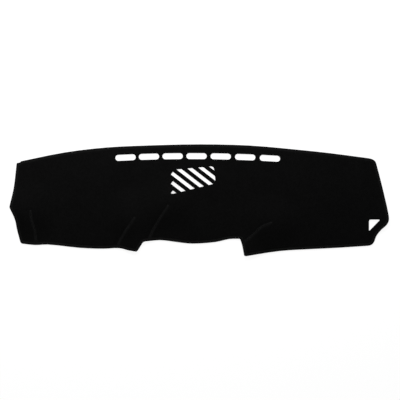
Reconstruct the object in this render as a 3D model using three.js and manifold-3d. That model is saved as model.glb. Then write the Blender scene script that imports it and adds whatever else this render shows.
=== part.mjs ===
// Dashboard cover mat: one sheet of short-pile carpet, shaped by four sewn darts, with a tape folded
// round its whole outer edge. It lies flat, pile up, as it would on a table. Millimetres, +Z up.
// The windscreen edge is at +Y and the front edge, over the instruments, at -Y. The origin is under
// the middle of the mat.

import * as THREE from 'three';
import { mergeVertices } from 'three/addons/utils/BufferGeometryUtils.js';
import Module from 'manifold-3d';

const wasm = await Module();
wasm.setup();

// Overall size
const matWidth = 1450;
const matDepth = 428;

// Section of the sheet and of the tape round its edge
const sheetThickness = 4;
const pressedThickness = 1.8;
const tapeThickness = 0.9;
const tapeWidth = 11;
const seatGap = 0.3;

// Demister slots, in a shallow arc along the windscreen edge
const slotCount = 7;
const slotLength = 80.2;
const slotWidth = 24.9;
const firstSlotX = -282;
const firstSlotPitch = 89.5;
const slotPitchGrowth = 1;
const slotRowInset = 45.2;
const slotRowMiddle = -35;
const slotRowRadius = 5500;

// Slits over the middle speaker, cut off by a four-sided window with round corners. Their lower ends
// towards the left are cut square.
const slitCount = 7;
const slitWidth = 14.9;
const slitPitch = 28.3;
const slitShift = -3.6;
const slitAngle = THREE.MathUtils.degToRad(-37.6);
const windowMiddle = -25;
const windowInset = 131.5;
const windowLeft = -85;
const windowRight = 89;
const windowRise = 43;
const windowCornerReach = 14;

// Three-cornered hole near the right end
const cornerHoleWidth = 46;
const cornerHoleHeight = 48;
const cornerHoleInset = 77;
const cornerHoleTop = -73;
const cornerHoleReach = 9;

// Darts: a slit from the front edge, closed edge to edge by a zigzag stitch
const dartSlit = 0.4;
const dartOverrun = 25;
const stitchSwing = 9;
const stitchPitch = 5;
const threadWidth = 1.3;
const threadThickness = 0.8;

// Low bulges that the darts leave round their tips, and the lift of the free ends and lips
const bulgeHeight = 15;
const bulgeReach = 125;
const liftHeight = 7;
const liftReach = 95;

// Fineness of the faces
const gridStep = 25;
const pointsPerStation = 3;
const roundSteps = 5;

const left = -matWidth / 2;
const right = matWidth / 2;
const back = matDepth / 2;
const front = -matDepth / 2;
const at = (x, y) => new THREE.Vector2(x, y);

// The edge, anticlockwise from the back right corner, as stretches between corners. Each stretch is
// a smooth line through its stations, and reach is how far the rounding of its last corner extends.
const leftLip = at(-238, front + 16.8);
const rightLip = at(172, front - 1.2);
const leftTip = at(left - 1, -27);
const rightTip = at(right, -74);
const edgeStretches = [
  { // windscreen edge
    stations: [
      at(498, back - 33.5), at(370, back - 20), at(192, back - 4.5), at(0, back),
      at(-200, back - 4.5), at(-355, back - 12), at(-515, back - 31), at(left + 44, back - 64.5),
    ],
    reach: 2,
  },
  { stations: [at(left + 37, back - 70.5)], reach: 2 }, // small step beside the back left corner
  { stations: [at(left + 26.5, back - 70.5)], reach: 9 },
  { stations: [at(left + 15, 45), leftTip], reach: 6 }, // left end, above its tip
  { // left end, below its tip
    stations: [at(left + 16, -62), at(left + 23, -83), at(left + 27, -108), at(left + 42, front + 48.5)],
    reach: 15,
  },
  { // front edge, left of the notch
    stations: [
      at(left + 98, front + 42.5), at(left + 145, front + 44.5), at(-454, front + 31.5),
      at(-366, front + 28.5), at(-305, front + 30.5), at(-270, front + 22), leftLip,
    ],
    reach: 9,
  },
  { stations: [at(-214, front + 55.5)], reach: 9 }, // left wall of the notch
  { // top of the notch
    stations: [
      at(-156, front + 61), at(-132, front + 60), at(-68, front + 51.5), at(-26, front + 48),
      at(62, front + 54), at(115, front + 65.5), at(156, front + 66.5),
    ],
    reach: 6,
  },
  { stations: [at(163, front + 44.5), rightLip], reach: 9 }, // right wall of the notch
  { // front edge, right of the notch
    stations: [
      at(307, front + 19.5), at(418, front + 26.5), at(521, front + 31.5), at(right - 58, front + 41),
    ],
    reach: 25,
  },
  { // right end, round its tip and up to the back right corner
    stations: [
      at(right - 50, -142), at(right - 41, -127), at(right - 27, -111), at(right - 12, -98),
      at(right - 4.5, -88), rightTip, at(right - 3, -47), at(right - 24, 47.5),
      at(right - 52.5, back - 56.5),
    ],
    reach: 31,
  },
];

// The tape is sewn on in lengths, anticlockwise, and each one starts where the one before it ends.
const tapeLengths = [
  { name: 'tape_windscreen_left', start: at(slotRowMiddle, back) },
  { name: 'tape_front_left', start: leftTip },
  { name: 'tape_notch', start: leftLip },
  { name: 'tape_front_right', start: rightLip },
  { name: 'tape_windscreen_right', start: rightTip },
];

// Each dart runs from its tip to its mouth in the front edge.
const darts = [
  {
    name: 'dart_seam_left_end',
    stations: [
      at(left + 81, front + 172), at(left + 84, front + 140), at(left + 96, front + 99),
      at(left + 101, front + 42),
    ],
  },
  {
    name: 'dart_seam_left',
    stations: [at(-247, front + 148), at(-267, front + 119), at(-298, front + 70), at(-317, front + 30)],
  },
  {
    name: 'dart_seam_middle',
    stations: [at(-118, front + 194), at(-149, front + 148), at(-182, front + 90), at(-196, front + 56)],
  },
  {
    name: 'dart_seam_right',
    stations: [at(274, front + 128), at(241, front + 115), at(196, front + 74), at(161, front + 49)],
  },
];

const lifted = [leftTip, rightTip, leftLip, rightLip];
const swells = [
  ...darts.map((dart) => ({ middle: dart.stations[0], height: bulgeHeight, reach: bulgeReach })),
  ...lifted.map((middle) => ({ middle, height: liftHeight, reach: liftReach })),
];

// How high the mat's underside stands above the table at a point: nothing between the swells
function relief(x, y) {
  const spot = at(x, y);
  let height = 0;
  for (const swell of swells) {
    const share = Math.min(1, spot.distanceTo(swell.middle) / swell.reach);
    height += swell.height * Math.cos(share * Math.PI / 2) ** 2;
  }
  return height;
}

// A smooth line through the stations
function smooth(stations) {
  if (stations.length === 2) return stations;
  const places = stations.map((station) => new THREE.Vector3(station.x, station.y, 0));
  const line = new THREE.CatmullRomCurve3(places, false, 'centripetal');
  return line.getPoints(pointsPerStation * (stations.length - 1)).map((p) => at(p.x, p.y));
}

// The point that lies a length along a line of points from its start, and the points after it
function shorten(line, length) {
  const rest = [...line];
  let toGo = length;
  while (rest.length > 2 && rest[0].distanceTo(rest[1]) <= toGo) {
    toGo -= rest[0].distanceTo(rest[1]);
    rest.shift();
  }
  const share = Math.min(0.45, toGo / rest[0].distanceTo(rest[1]));
  rest[0] = rest[0].clone().lerp(rest[1], share);
  return rest;
}

// A closed outline from stretches that follow each other, with the corner after each one rounded
function outlineOf(stretches) {
  const lines = stretches.map((stretch, i) => {
    const before = stretches.at(i - 1);
    return smooth([before.stations.at(-1), ...stretch.stations]);
  });
  const points = [];
  lines.forEach((line, i) => {
    const start = shorten(line, stretches.at(i - 1).reach);
    const kept = shorten(start.reverse(), stretches[i].reach).reverse();
    const next = shorten(lines[(i + 1) % lines.length], stretches[i].reach);
    const corner = new THREE.QuadraticBezierCurve(kept.at(-1), line.at(-1), next[0]);
    points.push(...kept.slice(0, -1), ...corner.getPoints(roundSteps).slice(0, -1));
  });
  return points;
}

// The corners given, each one rounded over the same reach
function roundedPolygon(corners, reach) {
  return outlineOf(corners.map((corner) => ({ stations: [corner], reach })));
}

// Where two lines cross, each given by a point on it and its direction
function crossing(first, second) {
  const turn = first.along.cross(second.along);
  if (Math.abs(turn) < 1e-5) return second.start.clone();
  const length = second.start.clone().sub(first.start).cross(second.along) / turn;
  return first.start.clone().addScaledVector(first.along, length);
}

// The outline moved inwards. A side that is lost in a tight corner is left out.
function inset(outline, distance) {
  const sides = outline.map((corner, i) => {
    const along = outline[(i + 1) % outline.length].clone().sub(corner).normalize();
    const start = corner.clone().addScaledVector(at(-along.y, along.x), distance);
    return { start, along };
  });
  for (;;) {
    const corners = sides.map((side, i) => crossing(sides.at(i - 1), side));
    const lengths = sides.map((side, i) => {
      return corners[(i + 1) % corners.length].clone().sub(corners[i]).dot(side.along);
    });
    const shortest = Math.min(...lengths);
    if (shortest > 0) return corners;
    sides.splice(lengths.indexOf(shortest), 1);
  }
}

function holds(outline, spot) {
  let inside = false;
  outline.forEach((corner, i) => {
    const other = outline.at(i - 1);
    const level = (corner.y > spot.y) !== (other.y > spot.y);
    const share = (spot.y - corner.y) / (other.y - corner.y);
    if (level && spot.x < corner.x + share * (other.x - corner.x)) inside = !inside;
  });
  return inside;
}

function solid(geometry) {
  geometry.deleteAttribute('normal');
  geometry.deleteAttribute('uv');
  const merged = mergeVertices(geometry);
  return new wasm.Manifold(new wasm.Mesh({
    numProp: 3,
    vertProperties: new Float32Array(merged.attributes.position.array),
    triVerts: new Uint32Array(merged.index.array),
  }));
}

// An upright block on an outline, high enough to cut through the whole mat
function prism(outline) {
  const reachZ = sheetThickness + bulgeHeight * darts.length;
  const shape = new THREE.Shape(outline);
  const geometry = new THREE.ExtrudeGeometry(shape, { depth: 2 * reachZ, bevelEnabled: false });
  geometry.translate(0, 0, -reachZ);
  return solid(geometry);
}

// Grid lines across the mat, close together where it isn't flat
function gridLines(low, high, axis) {
  const count = Math.ceil((high - low) / gridStep);
  const lines = Array.from({ length: count + 1 }, (_, i) => low + (i * (high - low)) / count);
  return lines.filter((line, i) => {
    const near = swells.some((swell) => Math.abs(line - swell.middle[axis]) < swell.reach + gridStep);
    return near || i === 0 || i === count;
  });
}

const columns = gridLines(left - gridStep, right + gridStep, 'x');
const rows = gridLines(front - gridStep, back + gridStep, 'y');

// All that lies under a surface that follows the mat's underside at a height above it
function under(height) {
  const across = columns.length - 1;
  const up = rows.length - 1;
  const geometry = new THREE.BoxGeometry(across, up, 1, across, up, 1);
  const places = geometry.attributes.position;
  for (let i = 0; i < places.count; i += 1) {
    const x = columns[Math.round(places.getX(i) + across / 2)];
    const y = rows[Math.round(places.getY(i) + up / 2)];
    const z = places.getZ(i) < 0 ? -sheetThickness : relief(x, y) + height;
    places.setXYZ(i, x, y, z);
  }
  return solid(geometry);
}

// A layer of even thickness between two heights above the mat's underside
function layer(low, high) {
  return under(high).subtract(under(low));
}

function named(name, body, material) {
  const { vertProperties, triVerts } = body.getMesh();
  const geometry = new THREE.BufferGeometry();
  geometry.setAttribute('position', new THREE.BufferAttribute(vertProperties, 3));
  geometry.setIndex(new THREE.BufferAttribute(triVerts, 1));
  geometry.computeVertexNormals();
  const mesh = new THREE.Mesh(geometry, material);
  mesh.name = name;
  return mesh;
}

function slot(x) {
  const drop = (x - slotRowMiddle) ** 2 / (2 * slotRowRadius);
  const tilt = (slotRowMiddle - x) / slotRowRadius;
  const end = slotWidth / 2;
  const middle = at(x, back - slotRowInset - drop);
  const run = at(slotLength / 2 - end, 0).rotateAround(at(0, 0), tilt);
  const shape = new THREE.Shape();
  const ahead = middle.clone().add(run);
  const behind = middle.clone().sub(run);
  shape.absarc(ahead.x, ahead.y, end, tilt - Math.PI / 2, tilt + Math.PI / 2);
  shape.absarc(behind.x, behind.y, end, tilt + Math.PI / 2, tilt + (3 * Math.PI) / 2);
  return prism(shape.getPoints(roundSteps));
}

function demisterSlots() {
  return Array.from({ length: slotCount }, (_, i) => {
    return slot(firstSlotX + i * firstSlotPitch + (slotPitchGrowth * i * (i - 1)) / 2);
  });
}

function speakerSlits() {
  const middle = at(windowMiddle, back - windowInset);
  const corners = [
    at(windowLeft - 1, 34), at(windowLeft - 1, -61.5), at(windowRight, -61.5 + windowRise),
    at(windowRight - 8, 49),
  ];
  const pane = prism(roundedPolygon(corners.map((corner) => corner.add(middle)), windowCornerReach));
  return Array.from({ length: slitCount }, (_, i) => {
    const offset = (i - (slitCount - 1) / 2) * slitPitch + slitShift;
    const low = offset - slitWidth / 2;
    const high = offset + slitWidth / 2;
    const start = (windowLeft + low * Math.sin(slitAngle)) / Math.cos(slitAngle);
    const band = [at(start, low), at(matDepth, low), at(matDepth, high), at(start, high)];
    const turned = band.map((corner) => corner.rotateAround(at(0, 0), slitAngle).add(middle));
    return prism(turned).intersect(pane);
  });
}

function cornerHole() {
  const corner = at(right - cornerHoleInset, cornerHoleTop);
  const below = corner.clone().add(at(0, -cornerHoleHeight));
  const beside = corner.clone().add(at(cornerHoleWidth, 0));
  return prism(roundedPolygon([corner, below, beside], cornerHoleReach));
}

// The line of a dart, as a curve from its tip to past the edge
function dartLine(dart) {
  const [beforeLast, last] = dart.stations.slice(-2);
  const outwards = last.clone().sub(beforeLast).setLength(dartOverrun);
  const places = [...dart.stations, last.clone().add(outwards)];
  return new THREE.CatmullRomCurve3(places.map((p) => new THREE.Vector3(p.x, p.y, 0)));
}

function dartCut(dart) {
  const line = dartLine(dart);
  const steps = 3 * dart.stations.length;
  const sides = [[], []];
  for (let i = 1; i <= steps; i += 1) {
    const place = line.getPointAt(i / steps);
    const along = line.getTangentAt(i / steps);
    const half = at(-along.y, along.x).multiplyScalar(dartSlit / 2);
    sides[0].push(at(place.x, place.y).sub(half));
    sides[1].unshift(at(place.x, place.y).add(half));
  }
  return prism([dart.stations[0], ...sides[0], ...sides[1]]);
}

const outline = outlineOf(edgeStretches);
const pileEdge = inset(outline, tapeWidth + seatGap);

function carpet(material) {
  const pile = layer(0, sheetThickness).intersect(prism(pileEdge));
  const pressedLow = tapeThickness + seatGap;
  const pressed = layer(pressedLow, pressedLow + pressedThickness);
  const seated = pressed.intersect(prism(inset(outline, tapeThickness + seatGap)));
  let sheet = pile.add(seated);
  for (const cut of [...demisterSlots(), ...speakerSlits(), cornerHole(), ...darts.map(dartCut)]) {
    sheet = sheet.subtract(cut);
  }
  return named('mat', sheet, material);
}

// The thin cut across the tape at a point of the outline, where two lengths meet
function tapeCut(i) {
  const before = outline.at(i - 1);
  const after = outline[(i + 1) % outline.length];
  const inwards = at(before.y - after.y, after.x - before.x).normalize();
  const half = at(-inwards.y, inwards.x).multiplyScalar(seatGap / 2);
  const outer = outline[i].clone().addScaledVector(inwards, -tapeWidth);
  const inner = outline[i].clone().addScaledVector(inwards, 2 * tapeWidth);
  return prism([outer.clone().sub(half), outer.add(half), inner.clone().add(half), inner.sub(half)]);
}

// Folded tape: a U section, open inwards, that holds the pressed edge of the sheet
function edgeTape(material) {
  const mouth = pressedThickness + 2 * seatGap;
  const whole = layer(0, mouth + 2 * tapeThickness).intersect(prism(outline));
  const hollow = layer(tapeThickness, tapeThickness + mouth);
  const fold = hollow.intersect(prism(inset(outline, tapeThickness)));
  let tape = whole.subtract(prism(inset(outline, tapeWidth))).subtract(fold);
  const starts = tapeLengths.map(({ start }) => {
    const distances = outline.map((point) => point.distanceTo(start));
    return distances.indexOf(Math.min(...distances));
  });
  for (const i of starts) tape = tape.subtract(tapeCut(i));
  const pieces = tape.decompose();
  return tapeLengths.map(({ name }, i) => {
    const [a, b] = [1, 2].map((steps) => outline[(starts[i] + steps) % outline.length]);
    const across = b.clone().sub(a).rotateAround(at(0, 0), Math.PI / 2);
    const probe = prism([a, b, b.clone().add(across), a.clone().add(across)]);
    return named(name, pieces.find((piece) => !piece.intersect(probe).isEmpty()), material);
  });
}

// A zigzag of thread that lies across the closed slit, from the tip to the tape
function dartSeam(dart, material) {
  const line = dartLine(dart);
  const step = stitchPitch / 2;
  const count = Math.ceil(line.getLength() / step);
  const half = threadWidth / 2 / Math.cos(Math.atan2(stitchSwing, step));
  const room = inset(outline, tapeWidth + stitchSwing);
  const sides = [[], []];
  for (let i = 0; i < count; i += 1) {
    const place = line.getPointAt(i / count);
    const along = line.getTangentAt(i / count);
    const sideways = at(-along.y, along.x);
    const swing = ((i % 2 ? 1 : -1) * stitchSwing) / 2;
    const spot = at(place.x, place.y).addScaledVector(sideways, swing);
    if (!holds(room, spot)) break;
    sides[0].push(spot.clone().addScaledVector(sideways, -half));
    sides[1].unshift(spot.clone().addScaledVector(sideways, half));
  }
  const low = sheetThickness + seatGap;
  const thread = layer(low, low + threadThickness).intersect(prism([...sides[0], ...sides[1]]));
  return named(dart.name, thread, material);
}

const pileMaterial = new THREE.MeshStandardMaterial({ color: 0x0d0d0e, roughness: 0.97, metalness: 0 });
const tapeMaterial = new THREE.MeshStandardMaterial({ color: 0x141415, roughness: 0.85, metalness: 0 });
const threadMaterial = new THREE.MeshStandardMaterial({ color: 0x17171a, roughness: 0.7, metalness: 0 });

const coverMat = new THREE.Group();
coverMat.name = 'dashboard_cover_mat';
coverMat.add(carpet(pileMaterial));
coverMat.add(...edgeTape(tapeMaterial));
for (const dart of darts) coverMat.add(dartSeam(dart, threadMaterial));

export default coverMat;
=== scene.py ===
"""Dashboard cover mat, dressed: pile carpet, a folded edge tape with its stitching, and four darts.

Metres. The mat lies pile up, with its windscreen edge towards +Y and its front edge towards -Y. Its
outline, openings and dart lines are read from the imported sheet, and the rest is built on them.
"""

import math

import bmesh
import bpy
import numpy as np
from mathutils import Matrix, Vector, noise
from mathutils.geometry import delaunay_2d_cdt
from mathutils.kdtree import KDTree


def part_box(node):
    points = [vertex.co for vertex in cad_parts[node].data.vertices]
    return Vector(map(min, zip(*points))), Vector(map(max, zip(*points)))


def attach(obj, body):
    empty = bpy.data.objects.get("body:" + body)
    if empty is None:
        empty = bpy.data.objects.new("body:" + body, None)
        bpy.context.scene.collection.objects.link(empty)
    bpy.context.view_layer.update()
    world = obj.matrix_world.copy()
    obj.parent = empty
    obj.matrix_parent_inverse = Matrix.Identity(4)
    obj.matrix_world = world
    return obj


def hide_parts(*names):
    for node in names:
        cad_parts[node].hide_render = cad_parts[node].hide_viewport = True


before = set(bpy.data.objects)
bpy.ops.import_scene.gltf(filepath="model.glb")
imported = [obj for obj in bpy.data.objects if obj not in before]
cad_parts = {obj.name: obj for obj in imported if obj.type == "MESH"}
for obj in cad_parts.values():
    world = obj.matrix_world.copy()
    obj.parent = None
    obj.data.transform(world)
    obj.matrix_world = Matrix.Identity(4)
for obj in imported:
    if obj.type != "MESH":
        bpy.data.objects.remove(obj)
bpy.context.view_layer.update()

bpy.ops.object.select_all(action="DESELECT")

MM = 0.001
TINY = 1e-9

# Section of the sheet and its tape, as in the solids
SHEET = 4.0 * MM
TAPE_THICK = 0.9 * MM
SEAT_GAP = 0.3 * MM

# Low bulges round the dart tips, then the lifted tips and lips of the edge: middle, height and reach
BULGES = [
    ((-0.644, -0.042), 15 * MM, 0.125),
    ((-0.247, -0.066), 15 * MM, 0.125),
    ((-0.118, -0.020), 15 * MM, 0.125),
    ((0.274, -0.086), 15 * MM, 0.125),
    ((-0.726, -0.027), 7 * MM, 0.095),
    ((0.725, -0.074), 7 * MM, 0.095),
    ((-0.238, -0.1972), 7 * MM, 0.095),
    ((0.172, -0.2152), 7 * MM, 0.095),
]

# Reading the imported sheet. Points this near are one, first in space and then as seen from above. A face
# of the pile side points up by more than this. A loop below this many square metres isn't a hole. The
# two sides of a dart's slit are nearer than this, for more than this many points.
SAME_POINT = 1e-6
SAME_SPOT = 2e-5
UPWARD = 0.5
LEAST_HOLE = 2e-5
SLIT_WIDTH = 0.6 * MM
SLIT_POINTS = 4

# Two sides of a loop that turn less than this, in radians, are treated as one straight line
STRAIGHT = 1e-4

# Fineness. The pile's grid is shifted at random and kept clear of other points by shares of its step.
PILE_STEP = 4.4 * MM
PILE_SHIFT = 0.16
PILE_CLEAR = 0.62
PILE_SEED = 7
EDGE_STEP = 3.0 * MM
DART_STEP = 3.0 * MM
TAPE_STEP = 2.4 * MM
STITCH_LINE_STEP = 0.5 * MM

# Spacing of the points from which distances to the outline, the holes and the darts are measured
OUTLINE_SPACING = 0.8 * MM
HOLE_SPACING = 0.3 * MM
DART_SPACING = 0.5 * MM

# How far the pile's tips hang over the cut edge of a hole
FRINGE = 1.1 * MM

# Where the sheet's rows of points run: in from the outline, out from a hole's cut edge, and beside a
# dart's line, where they stop short of the edge
TAPE_ROWS = (9.8 * MM, 11.3 * MM, 12.8 * MM)
HOLE_ROWS = (0, 1.0 * MM, 2.4 * MM)
DART_ROWS = (-6.5 * MM, -4 * MM, -1 * MM, 0, 1 * MM, 4 * MM, 6.5 * MM)
DART_MARGIN = 10 * MM

# Triangulation, which runs in millimetres: what it returns, and how near points are merged
ALL_TRIANGLES = 0
MERGED = 1e-5

# In from the outline: the pile dips to go under the tape, and the backing rises over its lower fold
PILE_TOP = [(9.9 * MM, 2.95 * MM), (11.3 * MM, 3.8 * MM), (12.8 * MM, 4.1 * MM), (20 * MM, SHEET)]
BACKING = [(10.5 * MM, 1.15 * MM), (12.8 * MM, 0)]
LEAST_TOP = 2.0 * MM

# From a hole's cut edge: how far the pile rounds down, and, inside it, how far the tips hang over. They
# thin towards their ends, as their tops drop and their undersides rise by these shares of the overhang.
HOLE_LIP = [(0, 0.45 * MM), (1.0 * MM, 0.2 * MM), (2.4 * MM, 0)]
OVERHANG = [(0.5 * MM, 0), (FRINGE, FRINGE)]
TIPS_DROP = 0.8
TIPS_LIFT = 1.6

# Out from a dart's line: the depth of its valley, and how far the pile is flattened by the stitches, where
# its colour also carries a painted sheen, lighter as if the flattened nap caught the light. Both fade out
# near the tape.
VALLEY = [
    (0, 1.5 * MM), (1.0 * MM, 0.8 * MM), (4.0 * MM, 0.7 * MM), (6.5 * MM, 0.45 * MM), (9.5 * MM, 0),
]
PRESSING_AND_SHEEN = [(0, 0.6), (1.0 * MM, 1), (5.0 * MM, 1), (6.5 * MM, 0)]
DART_FADE = [(10 * MM, 0), (14 * MM, 1)]

# Soft unevenness of the pile: height, size and seed of each wave, and how free the pile is to move in
# from the outline and out from a hole
RIPPLES = [(0.16 * MM, 0.011, 3), (0.12 * MM, 0.045, 8)]
FREE_OF_TAPE = [(11.5 * MM, 0), (16 * MM, 1)]
FREE_OF_HOLE = [(1 * MM, 0.3), (6 * MM, 1)]

# Outside of the tape's folded section from its lower lip to its upper one, then its inside back again:
# millimetres in from the outline, and above the sheet's underside
TAPE_SECTION = [
    (11.0, 0.05), (10.2, 0.0), (6.0, 0.0), (2.2, 0.02), (1.0, 0.25), (0.3, 0.9), (0.0, 1.7), (0.0, 2.6),
    (0.3, 3.4), (1.1, 4.0), (2.6, 4.3), (5.0, 4.38), (7.2, 4.25), (8.6, 4.05), (9.8, 4.2), (10.7, 4.2),
    (11.0, 3.95), (10.9, 3.45), (9.0, 3.3), (1.6, 3.3), (0.9, 2.7), (0.9, 1.5), (1.6, 0.92), (9.0, 0.92),
    (11.0, 0.85),
]

# Points of the section that are further in than this many millimetres are kept out of each other's way
# in tight corners. Those beside the stitches wave up and down by this much.
TIGHT = 0.5
PULLED = [(7.2, 4.25), (8.6, 4.05), (9.8, 4.2)]
PULL = 0.07 * MM

# The row of lockstitches on the tape. A thread is a path of five points: their shares of the stitch, and
# how far each lies above the height of the row, so that both ends dip into the tape.
STITCH_PITCH = 4.6 * MM
STITCH_INSET = 8.6 * MM
STITCH_SHARES = np.array([0.06, 0.2, 0.5, 0.8, 0.94])
STITCH_ARCH = np.array([-0.45, 0.05, 0.3, 0.05, -0.45]) * MM
STITCH_TOP = 4.05 * MM
STITCH_ARCH_BELOW = -0.4 * STITCH_ARCH
STITCH_BELOW = 0.32 * MM
STITCH_RADIUS = 0.34 * MM
STITCH_SIDES = 5

# The zigzag over each dart, which widens from the dart's tip (distance, half its width) and stops short
# of the tape. Its threads are paths like those of the lockstitches.
ZIGZAG_PITCH = 5.0 * MM
ZIGZAG_REACH = [(0, 2.5 * MM), (60.0 * MM, 4.5 * MM)]
ZIGZAG_MARGIN = 13.5 * MM
ZIGZAG_SHARES = np.array([0.04, 0.18, 0.5, 0.82, 0.96])
ZIGZAG_ARCH = np.array([-0.55, 0.1, 0.0, 0.1, -0.55]) * MM
ZIGZAG_TOP = 3.4 * MM
ZIGZAG_RADIUS = 0.55 * MM
ZIGZAG_SIDES = 6

# The bar tack at a dart's tip: threads across it, side by side and a little slanted
TACKS = 4
TACK_START = 0.4 * MM
TACK_PITCH = 0.95 * MM
TACK_REACH = 3.0 * MM
TACK_SLANT = 0.45 * MM
TACK_TOP = 3.6 * MM

# Edges that turn more than this, in degrees, aren't shaded smooth
CARPET_CREASE = 50
TAPE_CREASE = 60
THREAD_CREASE = 80

# Floor, light and camera
FLOOR_SIZE = 14
FLOOR_DROP = 0.3 * MM
FLOOR_GLOW = 0.88
PANEL_SIZE = (2.8, 0.35)
PANEL_WATTS = 19.5
PANEL_PLACE = (-0.12, 0.85, 0.55)
SKY_STRENGTH = 0.32
WHITE = (1, 1, 1, 1)
LENS, SENSOR = 188.2, 36
CAMERA_PLACE = (2.75 * MM, 0.9 * MM, 8.0)

TAPES = [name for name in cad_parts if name.startswith("tape_")]
SEAMS = [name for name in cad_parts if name.startswith("dart_seam_")]


# Lines in plan: arrays of points. Closed ones are loops that run anticlockwise, round holes too.


def rise(points):
    """How high the sheet's underside stands above the floor at each point."""
    total = np.zeros(len(points))
    for middle, height, reach in BULGES:
        share = np.minimum(1, np.hypot(*(points - middle).T) / reach)
        total += height * np.cos(share * math.pi / 2) ** 2
    return total


def area(loop):
    """What the loop encloses, and below 0 where it runs clockwise."""
    after = np.roll(loop, -1, 0)
    return (loop[:, 0] * after[:, 1] - after[:, 0] * loop[:, 1]).sum() / 2


def plan_loops(node):
    """The closed edges of a sheet as seen from above: the outer one first, then its holes."""
    shell = bmesh.new()
    shell.from_mesh(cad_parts[node].data)
    bmesh.ops.remove_doubles(shell, verts=shell.verts, dist=SAME_POINT)
    shell.normal_update()
    hidden = [face for face in shell.faces if face.normal.z < UPWARD]
    bmesh.ops.delete(shell, geom=hidden, context="FACES")
    for vert in shell.verts:
        vert.co.z = 0
    bmesh.ops.remove_doubles(shell, verts=shell.verts, dist=SAME_SPOT)
    # A dict keeps its order, so the loops start at the same points each time, as from a set they wouldn't
    free = dict.fromkeys(edge for edge in shell.edges if len(edge.link_faces) == 1)
    loops = []
    while free:
        edge, _ = free.popitem()
        chain = list(edge.verts)
        while chain[-1] is not chain[0]:
            edge = next(e for e in chain[-1].link_edges if e in free)
            del free[edge]
            chain.append(edge.other_vert(chain[-1]))
        loop = np.array([vert.co.xy[:] for vert in chain[:-1]])
        loops.append(loop if area(loop) > 0 else loop[::-1])
    shell.free()
    loops = [loop for loop in loops if area(loop) > LEAST_HOLE]
    return sorted(loops, key=area, reverse=True)


def close_darts(loop):
    """The outer edge with its slits closed, and each dart's middle line from its tip to its mouth."""
    start = np.argmax(loop[:, 1])
    loop = np.roll(loop, -start, 0)
    kept, lines, i = [], [], 0
    while i < len(loop):
        kept.append(loop[i])
        gaps = np.hypot(*(loop[i + 2 :] - loop[i]).T)
        across = np.flatnonzero(gaps < SLIT_WIDTH)
        if len(across) and across[-1] > SLIT_POINTS:
            j = i + 2 + across[-1]
            there = loop[i + 1 : (i + j) // 2 + 1]
            back = loop[j - 1 : (i + j) // 2 - 1 : -1][: len(there)]
            middles = (there[: len(back)] + back) / 2
            lines.append(middles[::-1])
            i = j
        i += 1
    return np.array(kept), lines


def spaced(line, step, closed=True):
    """The same line with no side longer than a step."""
    ends = np.roll(line, -1, 0) if closed else line[1:]
    points = []
    for a, b in zip(line, ends):
        parts = max(1, math.ceil(np.hypot(*(b - a)) / step))
        points += [a + (b - a) * k / parts for k in range(parts)]
    return np.array(points if closed else points + [line[-1]])


def lengths(line, closed=True):
    """How far along a line its points lie. A closed line's whole length comes last."""
    sides = np.diff(np.r_[line, line[:1]] if closed else line, axis=0)
    return np.r_[0, np.cumsum(np.hypot(*sides.T))]


def sideways(line, closed=True):
    """The unit vector to the left of a line at each of its points."""
    if closed:
        along = np.roll(line, -1, 0) - np.roll(line, 1, 0)
    else:
        along = np.gradient(line, axis=0)
    along /= np.hypot(*along.T)[:, None]
    return np.stack([-along[:, 1], along[:, 0]], 1)


def inset(loop, distance):
    """The loop made smaller by a distance. A side that is lost in a tight corner is left out."""
    along = np.roll(loop, -1, 0) - loop
    along /= np.hypot(*along.T)[:, None]
    start = loop + distance * np.stack([-along[:, 1], along[:, 0]], 1)
    while True:
        before, from_before = np.roll(along, 1, 0), np.roll(start, 1, 0)
        turn = before[:, 0] * along[:, 1] - before[:, 1] * along[:, 0]
        gap = start - from_before
        run = gap[:, 0] * along[:, 1] - gap[:, 1] * along[:, 0]
        straight = np.abs(turn) < STRAIGHT
        run = np.where(straight, 0, run / np.where(straight, 1, turn))
        corners = np.where(straight[:, None], start, from_before + run[:, None] * before)
        sides = ((np.roll(corners, -1, 0) - corners) * along).sum(1)
        if sides.min() > 0:
            return corners
        along, start = (np.delete(x, sides.argmin(), 0) for x in (along, start))


def nearest_on(loop, points, batch=2000):
    """The nearest point of a closed loop to each of the points, worked out a batch at a time."""
    a, b = loop, np.roll(loop, -1, 0)
    run = b - a
    found = np.empty_like(points)
    for k in range(0, len(points), batch):
        some = points[k : k + batch]
        share = ((some[:, None] - a) * run).sum(2) / np.maximum((run**2).sum(1), TINY**2)
        spots = a + np.clip(share, 0, 1)[:, :, None] * run
        best = np.hypot(*(spots - some[:, None]).transpose(2, 0, 1)).argmin(1)
        found[k : k + batch] = spots[np.arange(len(some)), best]
    return found


def distance_to(lines, points):
    """How far each point lies from the nearest point of the finely spaced lines."""
    spots = np.concatenate(lines)
    tree = KDTree(len(spots))
    for i, spot in enumerate(spots):
        tree.insert((*spot, 0), i)
    tree.balance()
    return np.array([tree.find((*point, 0))[2] for point in points])


def holds(loop, points):
    """Which of the points lie inside the loop."""
    inside = np.zeros(len(points), bool)
    for a, b in zip(loop, np.roll(loop, -1, 0)):
        level = (a[1] > points[:, 1]) != (b[1] > points[:, 1])
        if level.any():
            reach = a[0] + (points[:, 1] - a[1]) * (b[0] - a[0]) / (b[1] - a[1])
            inside ^= level & (points[:, 0] < reach)
    return inside


def ramp(x, stops):
    """Straight lines between (x, height) stops, and level beyond them."""
    xs, heights = zip(*stops)
    return np.interp(x, xs, heights)


# Meshes


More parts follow.
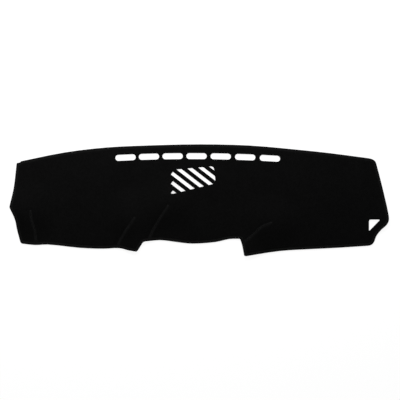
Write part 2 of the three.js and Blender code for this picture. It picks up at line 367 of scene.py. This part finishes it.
def piece(name, points, faces, finishes, crease, choice=None, uvs=None, pressed_and_sheen=None):
    """A new piece made of these points and faces, smooth but for its creases."""
    mesh = bpy.data.meshes.new(name)
    mesh.from_pydata(points, [], faces)
    thing = bpy.data.objects.new(name, mesh)
    bpy.context.scene.collection.objects.link(thing)
    for finish in finishes:
        mesh.materials.append(finish)
    if choice is not None:
        mesh.polygons.foreach_set("material_index", choice)
    if uvs is not None:
        layer = mesh.uv_layers.new(name="along_and_across")
        corners = np.empty(len(mesh.loops), np.int32)
        mesh.loops.foreach_get("vertex_index", corners)
        layer.data.foreach_set("uv", np.asarray(uvs, np.float32)[corners].ravel())
    # The share of flattened pile along the darts, which the pile's finish also paints lighter as a painted
    # sheen
    if pressed_and_sheen is not None:
        mesh.attributes.new("pressed_and_sheen", "FLOAT", "POINT").data.foreach_set("value", pressed_and_sheen)
    bpy.ops.object.select_all(action="DESELECT")
    thing.select_set(True)
    bpy.context.view_layer.objects.active = thing
    bpy.ops.object.shade_smooth_by_angle(angle=math.radians(crease))
    thing.select_set(False)
    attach(thing, "root")
    return thing


def ring_faces(rings, around, closed=True):
    """Quads between rings of points that lie one after another."""
    faces = []
    for i in range(rings if closed else rings - 1):
        here, there = i * around, (i + 1) % rings * around
        for j in range(around):
            k = (j + 1) % around
            faces.append((here + j, there + j, there + k, here + k))
    return faces


# Shader expressions


class Value:
    """One output of a shader node, on which sums are written as plain expressions."""

    def __init__(self, finish, socket):
        self.finish, self.socket = finish, socket

    def __add__(self, other):
        return self.finish.sum("ADD", self, other)

    def __mul__(self, other):
        return self.finish.sum("MULTIPLY", self, other)

    def __rsub__(self, other):
        return self.finish.sum("SUBTRACT", other, self)

    __radd__, __rmul__ = __add__, __mul__

    def between(self, low, high):
        """0 below low and 1 above high, with a smooth step between them."""
        values = {"Value": self, "From Min": low, "From Max": high}
        return self.finish.node("ShaderNodeMapRange", {"interpolation_type": "SMOOTHSTEP"}, values)


class Finish:
    """A surface finish, built from shader nodes."""

    def __init__(self, name, **fixed):
        self.material = bpy.data.materials.new(name)
        self.material.use_nodes = True
        self.tree = self.material.node_tree
        self.shader = self.tree.nodes["Principled BSDF"]
        for socket, value in fixed.items():
            self.shader.inputs[socket.replace("_", " ")].default_value = value
        self.place = self.node("ShaderNodeTexCoord", {}, {}, "Object")

    def node(self, kind, settings, values, output=0):
        """A new node with these settings, its sockets fed with numbers or with other nodes' outputs."""
        made = self.tree.nodes.new(kind)
        for key, value in settings.items():
            setattr(made, key, value)
        for key, value in values.items():
            self.feed(self.socket(made.inputs, key), value)
        return Value(self, self.socket(made.outputs, output))

    @staticmethod
    def socket(sockets, key):
        if isinstance(key, int):
            return sockets[key]
        return next(s for s in sockets if s.enabled and key in (s.identifier, s.name))

    def feed(self, socket, value):
        if isinstance(value, Value):
            self.tree.links.new(value.socket, socket)
        else:
            socket.default_value = value

    def sum(self, operation, first, second):
        return self.node("ShaderNodeMath", {"operation": operation}, {0: first, 1: second})

    def strip(self):
        """Distances along and across a strip of cloth or thread."""
        return self.node("ShaderNodeUVMap", {"uv_map": "along_and_across"}, {}, "UV")

    def noise(self, scale, detail, rough):
        values = {"Vector": self.place, "Scale": scale, "Detail": detail, "Roughness": rough}
        return self.node("ShaderNodeTexNoise", {}, values)

    def bands(self, direction, strip, scale, distortion, detail, detail_scale=1.0):
        """Soft bands, one after another in a direction of the strip."""
        settings = {"wave_type": "BANDS", "bands_direction": direction, "wave_profile": "SIN"}
        values = {"Vector": strip, "Scale": scale, "Distortion": distortion, "Detail": detail}
        values["Detail Scale"] = detail_scale
        return self.node("ShaderNodeTexWave", settings, values, "Fac")

    def blend(self, share, first, second):
        settings = {"data_type": "RGBA"}
        values = {"Factor_Float": share, "A_Color": first, "B_Color": second}
        return self.node("ShaderNodeMix", settings, values, "Result_Color")

    def bump(self, height, strength, distance, below=None):
        values = {"Height": height, "Strength": strength, "Distance": distance}
        if below:
            values["Normal"] = below
        return self.node("ShaderNodeBump", {}, values)

    def wear(self, **values):
        """The finished material, its shader fed with these values."""
        for key, value in values.items():
            self.feed(self.shader.inputs[key.replace("_", " ")], value)
        return self.material


def grey(level):
    return (level, level, level, 1)


# Darkest and lightest of each black cloth, and the painted sheen of the flattened pile along the darts
PILE_GREYS = (grey(0.0020), grey(0.0044))
PAINTED_SHEEN_GREY = grey(0.0074)
BACKING_GREYS = (grey(0.012), grey(0.007))
TAPE_GREYS = (grey(0.0035), grey(0.0065))
THREAD_GREYS = (grey(0.0036), grey(0.0064))

# The floor as its reflections in the mat see it, and as the camera does
FLOOR_GREYS = (grey(0.86), grey(0.24))


def pile_finish():
    """Short cut pile: a dark nap, mottled where its tufts lie different ways, and with a painted sheen:
    lighter along the darts, where the flattened nap would catch the light.
    """
    finish = Finish("pile_carpet", Specular_IOR_Level=0.03, Sheen_Weight=0.07, Sheen_Roughness=0.3)
    pressed_and_sheen = finish.node("ShaderNodeAttribute", {"attribute_name": "pressed_and_sheen"}, {}, "Fac")
    tufts = finish.noise(scale=620, detail=3, rough=0.7)
    nap = finish.noise(scale=110, detail=5, rough=0.65)
    sweep = finish.noise(scale=9, detail=3, rough=0.55)
    tips = tufts.between(0.35, 0.65)
    shade = nap.between(0.3, 0.7) * 0.4 + sweep.between(0.3, 0.72) * 0.2 + tips * 0.4
    colour = finish.blend(shade, *PILE_GREYS)
    # Painted sheen: the pile's colour is lighter along the darts, standing in for light caught by the
    # flattened nap
    colour = finish.blend(pressed_and_sheen * (0.35 + 0.65 * tips), colour, PAINTED_SHEEN_GREY)
    relief = finish.bump(nap, strength=0.6, distance=0.0012)
    standing = 1 - pressed_and_sheen * 0.7
    relief = finish.bump(tufts * standing, strength=0.9, distance=0.0011, below=relief)
    return finish.wear(Base_Color=colour, Roughness=0.93 + tufts * 0.06, Normal=relief)


def backing_finish():
    """The bonded backing underneath: a fine, even weave with a little glue sheen."""
    finish = Finish("backing", Specular_IOR_Level=0.12)
    weave = finish.node(
        "ShaderNodeTexBrick",
        {"offset": 0.5},
        {"Vector": finish.place, "Scale": 1.0, "Mortar Size": 0.0003, "Mortar Smooth": 0.6,
         "Brick Width": 0.0032, "Row Height": 0.0016},
        "Fac",
    )
    blotch = finish.noise(scale=30, detail=3, rough=0.6)
    colour = finish.blend(blotch.between(0.3, 0.7) * 0.6 + weave * 0.4, *BACKING_GREYS)
    relief = finish.bump(1 - weave, strength=0.6, distance=0.0003)
    return finish.wear(Base_Color=colour, Roughness=0.8 + blotch * 0.15, Normal=relief)


def tape_finish():
    """Woven edge tape: ribs across it, and finer threads along it."""
    finish = Finish("edge_tape", Specular_IOR_Level=0.05, Sheen_Weight=0.04, Sheen_Roughness=0.3)
    strip = finish.strip()
    ribs = finish.bands("X", strip, scale=300, distortion=1.2, detail=1.0, detail_scale=1.5)
    threads = finish.bands("Y", strip, scale=420, distortion=0.6, detail=1.0, detail_scale=2.0)
    worn = finish.noise(scale=28, detail=3, rough=0.6)
    weave = ribs * 0.7 + threads * 0.3
    colour = finish.blend(weave * 0.55 + worn.between(0.3, 0.7) * 0.45, *TAPE_GREYS)
    relief = finish.bump(weave, strength=0.55, distance=0.0003)
    return finish.wear(Base_Color=colour, Roughness=0.78 + worn * 0.16, Normal=relief)


def thread_finish():
    """Twisted sewing thread."""
    finish = Finish("seam_thread", Specular_IOR_Level=0.15)
    twist = finish.bands("DIAGONAL", finish.strip(), scale=500, distortion=0.4, detail=0.0)
    lint = finish.noise(scale=60, detail=2, rough=0.6)
    colour = finish.blend(twist * 0.5 + lint.between(0.35, 0.65) * 0.5, *THREAD_GREYS)
    relief = finish.bump(twist, strength=0.6, distance=0.0002)
    return finish.wear(Base_Color=colour, Roughness=0.6 + lint * 0.2, Normal=relief)


# The carpet sheet

edge_with_darts, *holes = plan_loops("mat")
edge, dart_lines = close_darts(edge_with_darts)
outline = inset(edge, -(TAPE_THICK + SEAT_GAP))
dart_lines = [spaced(line, DART_STEP, closed=False) for line in dart_lines]


def sheet_rows(fringes):
    """Rows of points along the edge and the holes, which are closed, and along the darts."""
    border = spaced(edge, EDGE_STEP)
    rings = [border] + [spaced(inset(outline, inward), EDGE_STEP) for inward in TAPE_ROWS]
    for hole, fringe in zip(holes, fringes):
        rings.append(spaced(fringe, EDGE_STEP))
        rings += [spaced(inset(hole, -outward), EDGE_STEP) for outward in HOLE_ROWS]
    chains = []
    for line in dart_lines:
        inner = line[distance_to([border], line) > DART_MARGIN]
        chains += [inner + aside * sideways(inner, closed=False) for aside in DART_ROWS]
    return rings, chains


def pile_grid(fixed):
    """A shaken grid of triangles' corners all over the sheet, clear of the fixed points."""
    across = np.arange(edge[:, 0].min(), edge[:, 0].max(), PILE_STEP)
    rows = np.arange(edge[:, 1].min(), edge[:, 1].max(), PILE_STEP * math.sqrt(3) / 2)
    grid = np.array([(x + (i % 2) * PILE_STEP / 2, y) for i, y in enumerate(rows) for x in across])
    grid += np.random.default_rng(PILE_SEED).uniform(-PILE_SHIFT, PILE_SHIFT, grid.shape) * PILE_STEP
    grid = grid[holds(edge, grid)]
    return grid[distance_to([fixed], grid) > PILE_CLEAR * PILE_STEP]


def carpet_plan():
    """The sheet's plan as points and triangles, with the pile's tips inside its holes."""
    fringes = [inset(hole, FRINGE) for hole in holes]
    rings, chains = sheet_rows(fringes)
    fixed = np.concatenate(rings + chains)
    points = np.concatenate([fixed, pile_grid(fixed)])
    ties, first = [], 0
    for ring in rings:
        ties += [(first + k, first + (k + 1) % len(ring)) for k in range(len(ring))]
        first += len(ring)
    for chain in chains:
        ties += [(first + k, first + k + 1) for k in range(len(chain) - 1)]
        first += len(chain)
    spots = [Vector(point) for point in points / MM]
    found, _, triangles, *_ = delaunay_2d_cdt(spots, ties, [], ALL_TRIANGLES, MERGED)
    plan = np.array([spot[:] for spot in found]) * MM
    triangles = np.array(triangles)
    middles = plan[triangles].mean(1)
    kept = holds(edge, middles)
    for fringe in fringes:
        kept &= ~holds(fringe, middles)
    used, triangles = np.unique(triangles[kept], return_inverse=True)
    plan, triangles = plan[used], triangles.reshape(-1, 3)
    a, b, c = plan[triangles].transpose(1, 0, 2)
    turned = (b - a)[:, 0] * (c - a)[:, 1] < (b - a)[:, 1] * (c - a)[:, 0]
    triangles[turned] = triangles[turned][:, ::-1]
    return plan, triangles


def ripple(points, size, seed):
    """Soft unevenness between -1 and 1."""
    return np.array([noise.noise(Vector((*(point / size), seed))) for point in points])


def make_carpet():
    """The sheet: its pile above and its backing below, joined along every cut edge."""
    plan, triangles = carpet_plan()
    inward = distance_to([spaced(outline, OUTLINE_SPACING)], plan)
    from_hole = distance_to([spaced(hole, HOLE_SPACING) for hole in holes], plan)
    from_dart = distance_to([spaced(line, DART_SPACING, closed=False) for line in dart_lines], plan)
    in_hole = np.any([holds(hole, plan) for hole in holes], 0)
    over = in_hole * ramp(from_hole, OVERHANG)
    dart_share = ramp(inward, DART_FADE)
    top = ramp(inward, PILE_TOP)
    top -= ramp(from_hole, HOLE_LIP) + TIPS_DROP * over
    top -= ramp(from_dart, VALLEY) * dart_share
    top = np.maximum(top, LEAST_TOP)
    loose = ramp(inward, FREE_OF_TAPE) * ramp(from_hole, FREE_OF_HOLE)
    top += loose * sum(height * ripple(plan, size, seed) for height, size, seed in RIPPLES)
    low = ramp(inward, BACKING) + TIPS_LIFT * over
    base, count = rise(plan), len(plan)
    points = np.concatenate([np.c_[plan, base + top], np.c_[plan, base + low]])
    faces = triangles.tolist() + (triangles[:, ::-1] + count).tolist()
    halves = {tuple(pair) for i in range(3) for pair in triangles[:, (i, (i + 1) % 3)].tolist()}
    open_sides = sorted(pair for pair in halves if pair[::-1] not in halves)
    faces += [(b, a, a + count, b + count) for a, b in open_sides]
    finishes = [pile_finish(), backing_finish()]
    choice = [0] * len(triangles) + [1] * len(triangles) + [0] * len(open_sides)
    # Flattened pile along the darts, for the bump and for the painted sheen in the pile's colour
    pressed_and_sheen = np.tile(ramp(from_dart, PRESSING_AND_SHEEN) * dart_share, 2)
    return piece("carpet", points, faces, finishes, CARPET_CREASE, choice, pressed_and_sheen=pressed_and_sheen)


# The edge tape


def make_tape():
    """One folded strip round the whole outline, drawn down between its stitches."""
    walk = spaced(outline, TAPE_STEP)
    left = sideways(walk)
    inner = {d: inset(outline, d * MM) for d in {d for d, _ in TAPE_SECTION if d > TIGHT}}
    length = lengths(walk)[:-1]
    pull = PULL * np.sin(length / STITCH_PITCH * 2 * math.pi)
    columns, uvs, run = [], [], 0.0
    for k, (d, height) in enumerate(TAPE_SECTION):
        spot = walk + d * MM * left
        if d in inner:
            spot = nearest_on(inner[d], spot)
        lift = height * MM + (pull if (d, height) in PULLED else 0)
        columns.append(np.c_[spot, rise(spot) + lift])
        if k:
            run += math.dist(TAPE_SECTION[k - 1], TAPE_SECTION[k]) * MM
        uvs.append(np.c_[length, np.full(len(walk), run)])
    points = np.stack(columns, 1).reshape(-1, 3)
    uvs = np.stack(uvs, 1).reshape(-1, 2)
    faces = ring_faces(len(walk), len(TAPE_SECTION))
    return piece("edge_tape", points, faces, [tape_finish()], TAPE_CREASE, uvs=uvs)


# Stitching


def thread_tube(path, sides, radius):
    """Points, faces, and places along and round it, of a thread of round section along a path."""
    along = np.gradient(path, axis=0)
    along /= np.linalg.norm(along, axis=1)[:, None]
    out = np.cross(along, (0, 0, 1.0))
    out /= np.maximum(np.linalg.norm(out, axis=1), TINY)[:, None]
    up = np.cross(out, along)
    turns = np.arange(sides) * 2 * math.pi / sides
    rings = path[:, None] + radius * (
        np.cos(turns)[None, :, None] * out[:, None] + np.sin(turns)[None, :, None] * up[:, None]
    )
    faces = [face[::-1] for face in ring_faces(len(path), sides, closed=False)]
    last = (len(path) - 1) * sides
    faces += [tuple(range(sides)), tuple(range(last + sides - 1, last - 1, -1))]
    run = np.r_[0, np.cumsum(np.linalg.norm(np.diff(path, axis=0), axis=1))]
    uvs = np.stack([np.repeat(run, sides), np.tile(turns * radius, len(path))], 1)
    return rings.reshape(-1, 3), faces, uvs


def sewn(name, paths, sides, radius, thread):
    """One piece of many threads."""
    points, faces, uvs, first = [], [], [], 0
    for path in paths:
        spots, tube, strip = thread_tube(path, sides, radius)
        points.append(spots)
        uvs.append(strip)
        faces += [tuple(first + k for k in face) for face in tube]
        first += len(spots)
    return piece(name, np.concatenate(points), faces, [thread], THREAD_CREASE, uvs=np.concatenate(uvs))


def on_sheet(spots, height):
    return np.c_[spots, rise(spots) + height]


def make_tape_stitches(thread):
    """A row of lockstitches near the tape's inner edge, above and below."""
    line = spaced(inset(outline, STITCH_INSET), STITCH_LINE_STEP)
    run = lengths(line)
    count = round(run[-1] / STITCH_PITCH)
    pitch = run[-1] / count
    closed = np.r_[line, line[:1]]
    paths = []
    for k in range(count):
        where = (k + STITCH_SHARES) * pitch
        spots = np.c_[np.interp(where, run, closed[:, 0]), np.interp(where, run, closed[:, 1])]
        paths.append(on_sheet(spots, STITCH_TOP + STITCH_ARCH))
        paths.append(on_sheet(spots, STITCH_BELOW + STITCH_ARCH_BELOW))
    return sewn("tape_stitches", paths, STITCH_SIDES, STITCH_RADIUS, thread)


def dart_thread(start, end, height):
    """The path of one straight thread of a dart's seam."""
    return on_sheet(start + ZIGZAG_SHARES[:, None] * (end - start), height + ZIGZAG_ARCH)


def make_dart_seam(name, line, thread):
    """The zigzag that closes a dart, with a bar tack at its tip."""
    run = lengths(line, closed=False)
    left = sideways(line, closed=False)
    step = ZIGZAG_PITCH / 2
    clear = distance_to([spaced(outline, OUTLINE_SPACING)], line) > ZIGZAG_MARGIN
    turns = []
    for k in range(int(run[clear].max() / step) + 1):
        at = [np.interp(k * step, run, values) for values in (*line.T, *left.T)]
        swing = ramp(k * step, ZIGZAG_REACH) * (1 if k % 2 else -1)
        turns.append((at[0] + swing * at[2], at[1] + swing * at[3]))
    turns = np.array(turns)
    paths = [dart_thread(a, b, ZIGZAG_TOP) for a, b in zip(turns, turns[1:])]
    aside, ahead = left[0], np.array([left[0][1], -left[0][0]])
    for k in range(TACKS):
        middle = line[0] - ahead * (TACK_START + k * TACK_PITCH)
        end = middle + aside * TACK_REACH + ahead * TACK_SLANT
        paths.append(dart_thread(middle - aside * TACK_REACH, end, TACK_TOP))
    return sewn(name + "_thread", paths, ZIGZAG_SIDES, ZIGZAG_RADIUS, thread)


thread = thread_finish()

carpet = make_carpet()
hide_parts("mat")

tape = make_tape()
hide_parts(*TAPES)

stitches = make_tape_stitches(thread)

for name in SEAMS:
    low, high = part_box(name)
    middle = np.array([(low.x + high.x) / 2, (low.y + high.y) / 2])
    line = min(dart_lines, key=lambda points: np.hypot(*(points.mean(0) - middle)))
    seam = make_dart_seam(name, line, thread)
    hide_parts(name)


# Floor, light and camera


def make_floor():
    """A white floor that keeps a faint shadow of the mat, and glows evenly to the camera alone."""
    bpy.ops.mesh.primitive_plane_add(size=FLOOR_SIZE, location=(0, 0, -FLOOR_DROP))
    floor = bpy.context.active_object
    floor.name = "floor"
    finish = Finish("floor_white", Specular_IOR_Level=0.0)
    seen = finish.node("ShaderNodeLightPath", {}, {}, "Is Camera Ray")
    finish.wear(Base_Color=finish.blend(seen, *FLOOR_GREYS), Roughness=1.0)
    finish.wear(Emission_Color=WHITE, Emission_Strength=seen * FLOOR_GLOW)
    floor.data.materials.append(finish.material)


def make_light():
    """One wide soft panel above the windscreen side, and an even sky."""
    panel = bpy.data.lights.new("panel", "AREA")
    panel.shape = "RECTANGLE"
    panel.size, panel.size_y = PANEL_SIZE
    panel.energy = PANEL_WATTS
    lamp = bpy.data.objects.new("panel", panel)
    lamp.location = PANEL_PLACE
    lamp.rotation_euler = (-lamp.location).to_track_quat("-Z", "Y").to_euler()
    lamp.visible_camera = False
    bpy.context.scene.collection.objects.link(lamp)
    world = bpy.data.worlds.new("studio")
    world.use_nodes = True
    sky = world.node_tree.nodes["Background"]
    sky.inputs["Color"].default_value = WHITE
    sky.inputs["Strength"].default_value = SKY_STRENGTH
    bpy.context.scene.world = world


def make_camera():
    """Straight above the mat, far off with a long lens."""
    camera = bpy.data.cameras.new("camera")
    camera.lens, camera.sensor_width = LENS, SENSOR
    eye = bpy.data.objects.new("camera", camera)
    eye.location = CAMERA_PLACE
    bpy.context.scene.collection.objects.link(eye)
    bpy.context.scene.camera = eye


make_floor()
make_light()
make_camera()
bpy.context.scene.view_settings.view_transform = "Standard"
